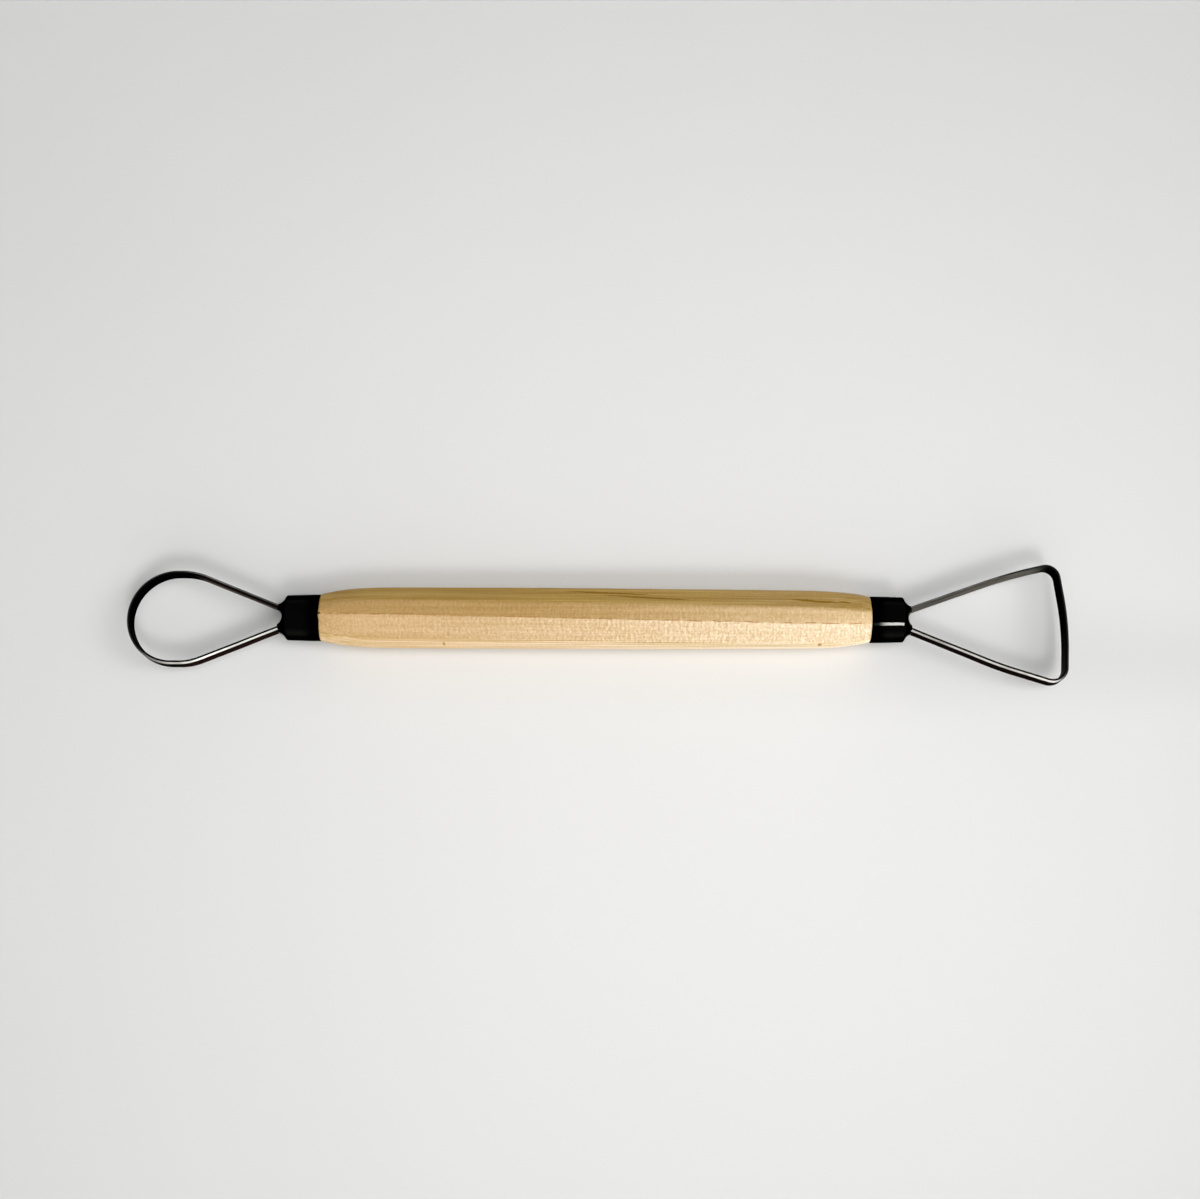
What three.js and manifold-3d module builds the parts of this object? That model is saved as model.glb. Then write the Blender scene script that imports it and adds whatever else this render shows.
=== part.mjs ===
// A double-ended ribbon tool for trimming clay: a faceted wooden handle with a sharpened
// steel ribbon at each end, one bent to a round loop and one to a triangle.
//
// Millimetres and degrees. X runs along the tool, from the round loop to the triangle.
// Z is square to both loops. The tool lies on a flat planed on the underside of its handle,
// and the origin is the middle of that flat.
import * as THREE from "three";
import { mergeVertices } from "three/addons/utils/BufferGeometryUtils.js";
import Module from "manifold-3d";

// Handle: eight shaved faces that turn a little along the grain, narrowing to a nose at each end.
const handleLength = 118.9;
const cornerRadius = 6.84; // axis to the corners where the handle is fullest
const woodStep = 0.55; // how far the corners stand out from the sleeve at its two ends
const noseLength = 17;
const noseFullness = 3.1; // 1 is a straight cone, more is a rounder nose
const fullestPlace = -15; // along X
const bellySink = 0.17; // lost from the corner radius half a handle away from there
const restHalfAngle = 22.5; // half the width of the flat that the tool lies on, seen from the axis
const restPlaned = 0.17; // planed off there, below the two corners
const shavedCorners = [-112, -66, -19, 12, 59, 107]; // from straight up, towards -Y
const shavedTwist = 19; // how far those corners turn from end to end
const cornerSoftness = 1.1; // rounding of the corners along the handle
const endSoftness = 4.4; // and at its ends, which are nearly round

// Turned tenons, bored for the ribbon's roots.
const tenonWall = 1.3;
const tenonLength = 6.55;
const rootClearance = 0.41; // from the ribbon's farthest corner to the wall of its bore
const rootFloor = 1.6; // from the ribbon's ends to the bottom of the bore

// Ribbon steel, standing on edge.
const ribbonWidth = 4.3;
const ribbonThickness = 0.8;
const ribbonBevel = 0.12;
const rootLength = 14; // straight run inside the bore
const rootBend = 2; // radius where the legs open out
const bendDepth = 0.4; // how far inside the tenon that bend sits

// The two loops. Every distance is from the root bend or from the axis, above is towards +Y.
const roundLoop = {
  rootAbove: 0.94,
  rootBelow: 1.38,
  reach: 35.2,
  above: 9.55,
  below: 10.25,
  noseAboveRadius: 10.3, // the rest of the half-round end takes what is left below
  shoulderAbove: 21.2,
  shoulderAboveRadius: 13.9,
  shoulderBelow: 21.7,
  shoulderBelowRadius: 11.8,
};
const triangleLoop = {
  rootAbove: 1.19,
  rootBelow: 1.38,
  legAbove: [23.92, 8.53],
  legAboveRadius: 92,
  cornerAbove: [34.46, 10.96],
  cornerAboveRadius: 2.75,
  farSide: [36.3, -0.9],
  farSideRadius: 67,
  cornerBelow: [35.62, -13.29],
  cornerBelowRadius: 3.1,
  legBelow: [21.9, -9.05],
  legBelowRadius: 85,
};

// Sleeves shrunk over the tenons and drawn in round the ribbon's legs.
const sleeveWall = 0.495;
const sleeveTaper = 0.3; // lost from its diameter at the shoulder
const shoulderRound = 0.22;
const neckWall = 0.2; // round the legs at the mouth
const mouthCorner = 1.3;
const neckFullness = 2; // 1 draws the neck in straight, more draws it in sooner
const webRadius = 1.7; // of the edge between the legs
// Length from the tenon's end to the shoulder, from there to the mouth, and how far the web sinks back.
const roundSleeve = { endLength: 0.95, neckLength: 1.8, webDepth: 1.1 };
const triangleSleeve = { endLength: 0.75, neckLength: 1.65, webDepth: 0.8 };
const sleeveFit = 0.08; // radial clearance over the tenon

// Glue set in the bores.
const glueFit = 0.15; // radial clearance in the bore
const ribbonFit = 0.2; // clearance round the ribbon in the sleeve and in the glue

// Fineness of the round surfaces.
const roundSides = 48;
const cornerSteps = 3;
const noseSteps = 8;
const bodySteps = 10;
const neckSteps = 6;
const arcSag = 0.02;

// How the cutting and joining is done.
const overrun = 1; // how far a cutter passes the face it opens
const weldDistance = 1e-4; // points closer than this are one
const cornerShare = 0.49; // of a face's width, the most that the rounding of one corner takes

const widestRoot = Math.max(
  ...[roundLoop, triangleLoop].flatMap(({ rootAbove, rootBelow }) => [rootAbove, rootBelow]),
);
const rootReach = Math.hypot(widestRoot + ribbonThickness / 2, ribbonWidth / 2);
const boreDiameter = 2 * (rootReach + rootClearance);
const tenonDiameter = boreDiameter + 2 * tenonWall;
const sleeveDiameter = tenonDiameter + 2 * (sleeveFit + sleeveWall);
const endCornerRadius = sleeveDiameter / 2 + woodStep;
const handleHalf = handleLength / 2;
const tenonEnd = handleHalf + tenonLength;
const bendPlace = tenonEnd - bendDepth;
const boreEnd = bendPlace - rootLength - rootFloor;
const restCosine = Math.cos(THREE.MathUtils.degToRad(restHalfAngle));
const restDistance = cornerRadius * restCosine - restPlaned;

const wasm = await Module();
wasm.setup();

// Joining and cutting.
function solid(geometry) {
  const bare = geometry.clone();
  bare.deleteAttribute("normal");
  bare.deleteAttribute("uv");
  const merged = mergeVertices(bare, weldDistance);
  return new wasm.Manifold(
    new wasm.Mesh({
      numProp: 3,
      vertProperties: merged.attributes.position.array,
      triVerts: new Uint32Array(merged.index.array),
    }),
  );
}

function geometryOf(body) {
  const { vertProperties, triVerts } = body.getMesh();
  const geometry = new THREE.BufferGeometry();
  geometry.setAttribute("position", new THREE.BufferAttribute(vertProperties, 3));
  geometry.setIndex(new THREE.BufferAttribute(triVerts, 1));
  geometry.computeVertexNormals();
  return geometry;
}

// A skin through rings that follow one another along X, closed by its first and last ring.
// Each ring runs from +Y towards +Z, and all have the same number of points.
function loft(rings) {
  const ordered = rings[0][0].x < rings.at(-1)[0].x ? rings : [...rings].reverse();
  const count = ordered[0].length;
  const last = (ordered.length - 1) * count;
  const faces = [];
  for (let ring = 0; ring < last; ring += count) {
    for (let i = 0; i < count; i++) {
      const j = (i + 1) % count;
      faces.push(ring + i, ring + j, ring + count + i);
      faces.push(ring + j, ring + count + j, ring + count + i);
    }
  }
  for (let i = 1; i < count - 1; i++) {
    faces.push(0, i + 1, i);
    faces.push(last, last + i, last + i + 1);
  }
  const geometry = new THREE.BufferGeometry().setFromPoints(ordered.flat());
  geometry.setIndex(faces);
  return geometry;
}

// A round bar along X.
function bar(diameter, from, to) {
  const length = Math.abs(to - from);
  const geometry = new THREE.CylinderGeometry(diameter / 2, diameter / 2, length, roundSides);
  return geometry.rotateZ(Math.PI / 2).translate((from + to) / 2, 0, 0);
}

// The arc that rounds a corner, as points with the direction of travel at each.
function roundedCorner(before, here, after, run, steps) {
  const coming = here.clone().sub(before).normalize();
  const going = after.clone().sub(here).normalize();
  const turn = Math.atan2(coming.cross(going), coming.dot(going));
  const radius = run / Math.tan(Math.abs(turn) / 2);
  const start = here.clone().addScaledVector(coming, -run);
  const left = new THREE.Vector2(-coming.y, coming.x);
  const centre = start.clone().addScaledVector(left, Math.sign(turn) * radius);
  const count = steps ?? Math.max(2, Math.ceil(Math.abs(turn) / Math.sqrt((8 * arcSag) / radius)));
  return Array.from({ length: count + 1 }, (_, i) => ({
    point: start.clone().rotateAround(centre, (turn * i) / count),
    along: coming.clone().rotateAround(new THREE.Vector2(), (turn * i) / count),
  }));
}

// How far from a corner an arc of that radius starts.
function runOf(before, here, after, radius) {
  const coming = here.clone().sub(before);
  const going = after.clone().sub(here);
  return radius * Math.tan(Math.abs(Math.atan2(coming.cross(going), coming.dot(going))) / 2);
}

// Corner radius of the handle's section at a place along it.
function handleRadius(x) {
  const belly = cornerRadius - bellySink * ((x - fullestPlace) / handleHalf) ** 2;
  return belly - (cornerRadius - endCornerRadius) * noseShare(x) ** noseFullness;
}

// 0 along the body of the handle, rising to 1 at either end.
function noseShare(x) {
  return Math.max(0, 1 - (handleHalf - Math.abs(x)) / noseLength);
}

// The handle's section: shaved corners that turn along the handle, and a level flat below.
function handleRing(x) {
  const radius = handleRadius(x);
  const turned = shavedCorners.map((angle) => angle + (shavedTwist * x) / handleLength);
  const at = (angle, reach) => {
    const a = THREE.MathUtils.degToRad(angle);
    return new THREE.Vector2(-reach * Math.sin(a), reach * Math.cos(a));
  };
  const restReach = restDistance / restCosine;
  const rest = [180 - restHalfAngle, 180 + restHalfAngle];
  const corners = [
    ...turned.map((angle) => at(angle, radius)),
    ...rest.map((angle) => at(angle, Math.min(radius, restReach))),
  ];
  const softness = THREE.MathUtils.lerp(cornerSoftness, endSoftness, noseShare(x) ** 2);
  return corners.flatMap((here, i) => {
    const before = corners.at(i - 1);
    const after = corners[(i + 1) % corners.length];
    const room = cornerShare * Math.min(here.distanceTo(before), here.distanceTo(after));
    const run = Math.min(runOf(before, here, after, softness), room);
    return roundedCorner(before, here, after, run, cornerSteps).map(
      ({ point }) => new THREE.Vector3(x, point.x, point.y),
    );
  });
}

function handleShape() {
  const bodyHalf = handleHalf - noseLength;
  const places = [];
  for (let i = 0; i < noseSteps; i++) places.push(-handleHalf + (noseLength * i) / noseSteps);
  for (let i = 0; i <= bodySteps; i++) places.push(-bodyHalf + (2 * bodyHalf * i) / bodySteps);
  for (let i = 1; i <= noseSteps; i++) places.push(bodyHalf + (noseLength * i) / noseSteps);
  let body = solid(loft(places.map(handleRing)));
  for (const side of [-1, 1]) {
    body = body.add(solid(bar(tenonDiameter, side * boreEnd, side * tenonEnd)));
  }
  for (const side of [-1, 1]) {
    body = body.subtract(solid(bar(boreDiameter, side * boreEnd, side * (tenonEnd + overrun))));
  }
  return geometryOf(body);
}

// Corners of a loop's centreline, from its upper root round to its lower one.
function roundCorners(loop) {
  const noseBelowRadius = loop.above + loop.below - loop.noseAboveRadius;
  return [
    [0, loop.rootAbove, rootBend],
    [loop.shoulderAbove, loop.above, loop.shoulderAboveRadius],
    [loop.reach, loop.above, loop.noseAboveRadius],
    [loop.reach, -loop.below, noseBelowRadius],
    [loop.shoulderBelow, -loop.below, loop.shoulderBelowRadius],
    [0, -loop.rootBelow, rootBend],
  ];
}

function triangleCorners(loop) {
  const above = ([x, y], radius) => [x, loop.rootAbove + y, radius];
  const below = ([x, y], radius) => [x, y - loop.rootBelow, radius];
  return [
    [0, loop.rootAbove, rootBend],
    above(loop.legAbove, loop.legAboveRadius),
    above(loop.cornerAbove, loop.cornerAboveRadius),
    [...loop.farSide, loop.farSideRadius],
    below(loop.cornerBelow, loop.cornerBelowRadius),
    below(loop.legBelow, loop.legBelowRadius),
    [0, -loop.rootBelow, rootBend],
  ];
}

// The whole centreline on one side of the tool, roots included.
function centreline(corners, side, extraRoot = 0) {
  const rootEnd = -rootLength - extraRoot;
  const all = [[rootEnd, corners[0][1]], ...corners, [rootEnd, corners.at(-1)[1]]];
  const places = all.map(([x, y]) => new THREE.Vector2(side * (bendPlace + x), y));
  const wanted = all.map(([, , radius], i) =>
    radius ? runOf(places[i - 1], places[i], places[i + 1], radius) : 0,
  );
  const room = (i, j) => places[i].distanceTo(places[j]) / (wanted[i] + wanted[j]);
  return places.flatMap((here, i) => {
    if (!wanted[i]) {
      const inner = i === 0 ? places[1] : places[i - 1];
      const along = i === 0 ? inner.clone().sub(here) : here.clone().sub(inner);
      return { point: here, along: along.normalize() };
    }
    const run = wanted[i] * Math.min(1, room(i, i - 1), room(i, i + 1));
    return roundedCorner(places[i - 1], here, places[i + 1], run);
  });
}

// Ribbon steel on edge along a centreline.
function ribbonShape(route, thickness, width, bevel) {
  const outline = (offset) =>
    route.map(({ point, along }) =>
      point.clone().add(new THREE.Vector2(-along.y, along.x).multiplyScalar(offset)),
    );
  const shape = new THREE.Shape([...outline(thickness / 2), ...outline(-thickness / 2).reverse()]);
  const settings = {
    depth: width - 2 * bevel,
    bevelEnabled: bevel > 0,
    bevelThickness: bevel,
    bevelSize: bevel,
    bevelOffset: -bevel,
    bevelSegments: 1,
  };
  return new THREE.ExtrudeGeometry(shape, settings).translate(0, 0, bevel - width / 2);
}

function bladeShape(corners, side) {
  const route = centreline(corners, side);
  return geometryOf(solid(ribbonShape(route, ribbonThickness, ribbonWidth, ribbonBevel)));
}

// The space that a blade needs in the sleeve and in the glue.
function bladeRoom(corners, side) {
  const route = centreline(corners, side, ribbonFit);
  const room = 2 * ribbonFit;
  return solid(ribbonShape(route, ribbonThickness + room, ribbonWidth + room, 0));
}

// Where a leg's outer face crosses a place along the tool, from the first corners of its route.
function legFace([rootX, rootY], [nextX, nextY], place) {
  const slope = (nextY - rootY) / (nextX - rootX);
  const centre = rootY + slope * (place - bendPlace - rootX);
  return centre + (Math.sign(slope) * (ribbonThickness / 2)) * Math.hypot(1, slope);
}

// A section of the sleeve: a circle where all three sizes are alike, else a round-cornered box.
function sleeveRing(x, middle, halfWidth, halfHeight, corner) {
  return Array.from({ length: roundSides }, (_, i) => {
    const angle = ((i + 0.5) * 2 * Math.PI) / roundSides;
    const y = Math.sign(Math.cos(angle)) * (halfWidth - corner) + corner * Math.cos(angle);
    const z = Math.sign(Math.sin(angle)) * (halfHeight - corner) + corner * Math.sin(angle);
    return new THREE.Vector3(x, middle + y, z);
  });
}

function sleeveShape(corners, side, { endLength, neckLength, webDepth }) {
  const shoulderPlace = tenonEnd + endLength;
  const mouthPlace = shoulderPlace + neckLength;
  const upper = legFace(corners[0], corners[1], mouthPlace);
  const lower = legFace(corners.at(-1), corners.at(-2), mouthPlace);
  const mouthMiddle = (upper + lower) / 2;
  const mouthHalfWidth = (upper - lower) / 2 + neckWall;
  const mouthHalfHeight = ribbonWidth / 2 + neckWall;
  const woodRadius = sleeveDiameter / 2;
  const endRadius = woodRadius - sleeveTaper / 2;
  const circle = (x, radius) => sleeveRing(side * x, 0, radius, radius, radius);
  const rings = [circle(handleHalf, woodRadius), circle(shoulderPlace - shoulderRound, endRadius)];
  for (let i = 0; i <= neckSteps; i++) {
    const share = i / neckSteps;
    const drawn = 1 - (1 - share) ** neckFullness;
    const blend = (from, to) => THREE.MathUtils.lerp(from - shoulderRound, to, drawn);
    rings.push(
      sleeveRing(
        side * THREE.MathUtils.lerp(shoulderPlace, mouthPlace, share),
        mouthMiddle * drawn,
        blend(endRadius, mouthHalfWidth),
        blend(endRadius, mouthHalfHeight),
        blend(endRadius, mouthCorner),
      ),
    );
  }
  const hollow = bar(
    tenonDiameter + 2 * sleeveFit,
    side * (handleHalf - overrun),
    side * (tenonEnd + sleeveFit),
  );
  const scoop = new THREE.CylinderGeometry(webRadius, webRadius, sleeveDiameter, roundSides)
    .rotateX(Math.PI / 2)
    .translate(side * (mouthPlace - webDepth + webRadius), mouthMiddle, 0);
  const body = solid(loft(rings))
    .subtract(solid(hollow))
    .subtract(bladeRoom(corners, side))
    .subtract(solid(scoop));
  return geometryOf(body);
}

function glueShape(corners, side) {
  const plug = bar(boreDiameter - 2 * glueFit, side * (boreEnd + glueFit), side * tenonEnd);
  return geometryOf(solid(plug).subtract(bladeRoom(corners, side)));
}

const wood = new THREE.MeshStandardMaterial({ color: 0xd9b98c, roughness: 0.55, metalness: 0 });
const steel = new THREE.MeshStandardMaterial({ color: 0x6f7072, roughness: 0.35, metalness: 1 });
const blackSleeve = new THREE.MeshStandardMaterial({ color: 0x060606, roughness: 0.2, metalness: 0 });
const amberGlue = new THREE.MeshStandardMaterial({ color: 0xa9803f, roughness: 0.4, metalness: 0 });

const tool = new THREE.Group();
tool.position.z = restDistance;

function place(name, geometry, material) {
  const mesh = new THREE.Mesh(geometry, material);
  mesh.name = name;
  tool.add(mesh);
}

place("handle", handleShape(), wood);
for (const [end, corners, side, sleeve] of [
  ["round", roundCorners(roundLoop), -1, roundSleeve],
  ["triangle", triangleCorners(triangleLoop), 1, triangleSleeve],
]) {
  place(`${end}_blade`, bladeShape(corners, side), steel);
  place(`${end}_end_sleeve`, sleeveShape(corners, side, sleeve), blackSleeve);
  place(`${end}_end_glue`, glueShape(corners, side), amberGlue);
}

const part = new THREE.Group();
part.add(tool);

export default part;
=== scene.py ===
import math

import bmesh
import bpy
from mathutils import Matrix, Vector, noise


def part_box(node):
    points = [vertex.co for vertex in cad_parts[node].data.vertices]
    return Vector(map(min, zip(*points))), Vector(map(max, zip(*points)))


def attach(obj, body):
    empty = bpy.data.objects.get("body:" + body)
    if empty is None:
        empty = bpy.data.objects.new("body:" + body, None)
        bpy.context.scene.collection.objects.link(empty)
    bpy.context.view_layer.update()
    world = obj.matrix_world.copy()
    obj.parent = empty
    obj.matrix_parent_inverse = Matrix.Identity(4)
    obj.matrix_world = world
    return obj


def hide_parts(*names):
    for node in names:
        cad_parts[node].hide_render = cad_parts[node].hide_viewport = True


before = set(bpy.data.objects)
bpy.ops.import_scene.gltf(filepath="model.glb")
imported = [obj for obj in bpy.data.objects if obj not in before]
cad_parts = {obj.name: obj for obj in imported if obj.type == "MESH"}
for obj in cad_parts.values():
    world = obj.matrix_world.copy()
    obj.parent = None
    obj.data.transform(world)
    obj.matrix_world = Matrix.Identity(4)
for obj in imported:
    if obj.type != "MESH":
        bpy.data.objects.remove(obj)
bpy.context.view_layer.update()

# A double-ended ribbon tool for trimming clay, lying on a flat of its handle.
# Sizes here are in millimetres and degrees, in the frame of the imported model: X along the tool
# from the round loop to the triangle, Z up, and the origin on the flat that the tool lies on.
MM = 0.001

# Camera, looking down at the tool and leaning back a little towards its near side.
CAMERA_LEAN = 12
CAMERA_ROLL = 0.2
CAMERA_DISTANCE = 456.5
CAMERA_TARGET = (0.98, 4.3, 6.15)
CAMERA_LENS = 63
CAMERA_SENSOR = 36

# Handle.
SECTION_CORNERS = (-112, -66, -19, 12, 59, 107)  # from straight up towards -Y
SECTION_TWIST = 19
REST_HALF_ANGLE = 22.5
CORNER_RADIUS = 6.84
WOOD_STEP = 0.55
NOSE_LENGTH = 17
NOSE_FULLNESS = 3.1
FAR_CORNER_FULLNESS = 7  # of the first corner, at the triangle's end
FAR_CORNER_STEP = 0.7  # and how far that corner stands out from the sleeve there
FULLEST_PLACE = -15
BELLY_SINK = 0.17
CORNER_SOFTNESS = (1.2, 1.2, 2.2, 0.35, 0.9, 2.6, 1.0, 1.0)  # the last two border the rest flat
END_SOFTNESS = 4.4
TENON_DIAMETER = 9
END_CHAMFER = 0.22
END_RAGGEDNESS = 0.9
CORNER_ROOM = 0.47  # the share of a face that the rounding of one corner may take
CORNER_WANDER = 1.6  # how far a corner strays round the handle, over a length of
CORNER_WANDER_LENGTH = 22
SHAVED_DEPTH = 0.035  # of the shallow waves that the knife left
SHAVED_LENGTH = 7
SHAVED_WIDTH = 3.1
FINE_DEPTH = 0.5  # of finer waves among them, as a share of theirs
FINE_LENGTH = 2.3
FINE_WIDTH = 1.3
REST_MARGIN = 0.3  # height over the rest flat where the waves set in
REST_FADE = 1.5  # and over which they come to their full depth
BODY_RINGS = 170
NOSE_RINGS = 50
CORNER_STEPS = 6
FACE_STEPS = 6

# Ribbon.
RIBBON_THICKNESS = 0.8
BEVEL_WIDTH = 0.39  # ground off the outer side of both edges
BEVEL_DROP = 0.17
EDGE_SOFTNESS = 0.05
ROOT_LENGTH = 14
ROOT_BEND = 2
BEND_DEPTH = 0.4
RIBBON_WANDER = 0.04  # sideways, over a length of
RIBBON_WANDER_LENGTH = 9
RIBBON_LEAN = 1.5  # off upright, over a length of
RIBBON_LEAN_LENGTH = 16
RIBBON_FREE_LENGTH = 6  # from the root bend to where both come to their full size
BEND_STEPS = 24
LONGEST_STEP = 0.8
SHORTEST_STEP = 0.005
# Corners of the centreline as (distance past the root bend, distance from the axis, radius).
ROUND_LOOP = (
    (0, 0.94, ROOT_BEND),
    (21.2, 9.55, 13.9),
    (35.2, 9.55, 10.3),
    (35.2, -10.25, 9.5),
    (21.7, -10.25, 11.8),
    (0, -1.38, ROOT_BEND),
)
TRIANGLE_LOOP = (
    (0, 1.19, ROOT_BEND),
    (23.92, 9.72, 92),
    (34.46, 12.15, 2.75),
    (36.3, -0.9, 67),
    (35.62, -14.67, 3.1),
    (21.9, -10.43, 85),
    (0, -1.38, ROOT_BEND),
)

# Sleeves.
SLEEVE_TAPER = 0.3
SLEEVE_BARREL = 1.6  # 1 tapers it evenly, more leaves it fuller near the wood
SHOULDER_ROUND = 0.22
NECK_WALL = 0.2
MOUTH_CORNER = 1.3
NECK_FULLNESS = 2
WEB_RADIUS = 1.7
SLEEVE_FIT = 0.08
ROUND_SLEEVE = {"end_length": 0.95, "neck_length": 1.8, "web_depth": 1.1, "rim": 0}
TRIANGLE_SLEEVE = {"end_length": 0.75, "neck_length": 1.65, "web_depth": 0.8, "rim": 1}
SLEEVE_STEPS = 12
SLEEVE_VOXEL = 0.13
SLEEVE_SOFTENING = 0.5
SLEEVE_SOFTENING_ROUNDS = 4
ROUND_SIDES = 96
WEB_CUT_REACH = 9  # up and down from the axis, well past the sleeve
HOLLOW_OVERRUN = 2  # of the cut for the tenon, past the sleeve's end

# Places in the noise that keep its uses apart.
CORNER_NOISE = (7.3, 2.1)
SHIFT_NOISE = 3.7
LEAN_NOISE = (5.1, 4)


def box_mm(node):
    low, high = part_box(node)
    return low / MM, high / MM


BLADE_LOW, BLADE_HIGH = box_mm("round_blade")
SLEEVE_LOW, SLEEVE_HIGH = box_mm("round_end_sleeve")
GLUE_LOW, GLUE_HIGH = box_mm("round_end_glue")
AXIS_HEIGHT = (BLADE_LOW.z + BLADE_HIGH.z) / 2
RIBBON_WIDTH = BLADE_HIGH.z - BLADE_LOW.z
SLEEVE_RADIUS = (SLEEVE_HIGH.z - SLEEVE_LOW.z) / 2
WOOD_END = -SLEEVE_HIGH.x
TENON_END = box_mm("handle")[1].x
BORE_END = -GLUE_HIGH.x
BORE_RADIUS = (GLUE_HIGH.z - GLUE_LOW.z) / 2
BEND_PLACE = TENON_END - BEND_DEPTH


def lerp(a, b, share):
    return a + (b - a) * share


def wander(x, y, z=0.0):
    """Smooth noise from -1 to 1."""
    return noise.noise(Vector((x, y, z)))


# Meshes.
def piece_from(name, points, faces, material_of=None, materials=()):
    """A piece from points in millimetres, round the tool's axis."""
    mesh = bpy.data.meshes.new(name)
    mesh.from_pydata([Vector((x, y, z + AXIS_HEIGHT)) * MM for x, y, z in points], [], faces)
    for material in materials:
        mesh.materials.append(material)
    if material_of:
        for face, index in zip(mesh.polygons, material_of):
            face.material_index = index
    mesh.validate()
    piece = bpy.data.objects.new(name, mesh)
    bpy.context.scene.collection.objects.link(piece)
    return piece


def face_outwards(piece):
    made = bmesh.new()
    made.from_mesh(piece.data)
    bmesh.ops.recalc_face_normals(made, faces=made.faces)
    made.to_mesh(piece.data)
    made.free()


def smooth(piece, sharpest):
    piece.data.shade_smooth()
    piece.data.set_sharp_from_angle(angle=math.radians(sharpest))


def loft(rings):
    """Points and faces of a closed skin through rings that have the same number of points."""
    count = len(rings[0])
    faces = []
    for ring in range(len(rings) - 1):
        for i in range(count):
            j = (i + 1) % count
            faces.append(
                (ring * count + i, ring * count + j, (ring + 1) * count + j, (ring + 1) * count + i)
            )
    faces.append(tuple(range(count))[::-1])
    faces.append(tuple(range((len(rings) - 1) * count, len(rings) * count)))
    return [point for ring in rings for point in ring], faces


def rounded_corner(before, here, after, run, steps):
    """The arc that rounds a corner, as points with the direction of travel at each."""
    coming = (here - before).normalized()
    going = (after - here).normalized()
    turn = math.atan2(coming.x * going.y - coming.y * going.x, coming.dot(going))
    radius = run / math.tan(abs(turn) / 2)
    start = here - coming * run
    left = Vector((-coming.y, coming.x)) * math.copysign(radius, turn)
    centre = start + left
    arc = []
    for i in range(steps + 1):
        turned = Matrix.Rotation(turn * i / steps, 2)
        arc.append((centre + turned @ (start - centre), turned @ coming))
    return arc


def run_of(before, here, after, radius):
    """How far from a corner an arc of that radius starts."""
    coming = here - before
    going = after - here
    turn = math.atan2(coming.x * going.y - coming.y * going.x, coming.dot(going))
    return radius * math.tan(abs(turn) / 2)


# Handle.
def nose_share(x):
    return max(0, 1 - (WOOD_END - abs(x)) / NOSE_LENGTH)


def corner_reach(x, fullness=NOSE_FULLNESS, step=WOOD_STEP):
    belly = CORNER_RADIUS - BELLY_SINK * ((x - FULLEST_PLACE) / WOOD_END) ** 2
    return belly - (CORNER_RADIUS - SLEEVE_RADIUS - step) * nose_share(x) ** fullness


def around(angle, reach):
    """A point seen from the axis at an angle from straight up towards -Y."""
    a = math.radians(angle)
    return Vector((-reach * math.sin(a), reach * math.cos(a)))


def section_at(x):
    """The handle's section as points (y, z), with rounded corners and points along each face."""
    radius = corner_reach(x)
    angles = []
    for i, angle in enumerate(SECTION_CORNERS):
        spot = (x / CORNER_WANDER_LENGTH, i * CORNER_NOISE[0], CORNER_NOISE[1])
        strayed = CORNER_WANDER * wander(*spot)
        angles.append(angle + SECTION_TWIST * x / (2 * WOOD_END) + strayed)
    rest_reach = AXIS_HEIGHT / math.cos(math.radians(REST_HALF_ANGLE))
    corners = [around(angle, radius) for angle in angles]
    if x > 0:
        corners[0] = around(angles[0], corner_reach(x, FAR_CORNER_FULLNESS, FAR_CORNER_STEP))
    for angle in (180 - REST_HALF_ANGLE, 180 + REST_HALF_ANGLE):
        corners.append(around(angle, min(radius, rest_reach)))
    section = []
    arcs = []
    for i, here in enumerate(corners):
        before = corners[i - 1]
        after = corners[(i + 1) % len(corners)]
        softness = lerp(CORNER_SOFTNESS[i], END_SOFTNESS, nose_share(x) ** 2)
        room = CORNER_ROOM * min((here - before).length, (here - after).length)
        run = min(run_of(before, here, after, softness), room)
        arcs.append([point for point, _ in rounded_corner(before, here, after, run, CORNER_STEPS)])
    for arc, following in zip(arcs, arcs[1:] + arcs[:1]):
        section += arc
        start, end = arc[-1], following[0]
        section += [start.lerp(end, i / FACE_STEPS) for i in range(1, FACE_STEPS)]
    return section


def shaved(x, point):
    """A point of the section moved by the knife's shallow waves, which leave the rest flat alone."""
    depth = SHAVED_DEPTH * (
        wander(x / SHAVED_LENGTH, point.x / SHAVED_WIDTH, point.y / SHAVED_WIDTH)
        + FINE_DEPTH * wander(x / FINE_LENGTH, point.x / FINE_WIDTH, point.y / FINE_WIDTH)
    )
    height = point.y + AXIS_HEIGHT
    above_rest = min(1, max(0, (height - REST_MARGIN) / REST_FADE))
    return point * (1 + depth * above_rest / point.length)


def ring_places():
    """Where the rings of the wood lie along the tool, closest together in the noses."""
    body_half = WOOD_END - NOSE_LENGTH
    nose = [body_half + NOSE_LENGTH * i / NOSE_RINGS for i in range(1, NOSE_RINGS)]
    nose += [WOOD_END - END_CHAMFER, WOOD_END - END_CHAMFER / 2, WOOD_END]
    nose.sort()
    body = [-body_half + 2 * body_half * i / BODY_RINGS for i in range(BODY_RINGS + 1)]
    return [-x for x in reversed(nose)] + body + nose


def wood_ring(x):
    """The section at a place as a ring, trimmed and ragged at the end of the wood."""
    trimmed = END_CHAMFER * max(0, 1 - (WOOD_END - abs(x)) / END_CHAMFER)
    ring = []
    for cut_point in section_at(x):
        point = shaved(x, cut_point)
        ragged = END_RAGGEDNESS * trimmed * wander(point.x / 2, point.y / 2, x)
        place = point * (1 - trimmed / point.length)
        ring.append((x + math.copysign(ragged, x), *place))
    return ring


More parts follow.
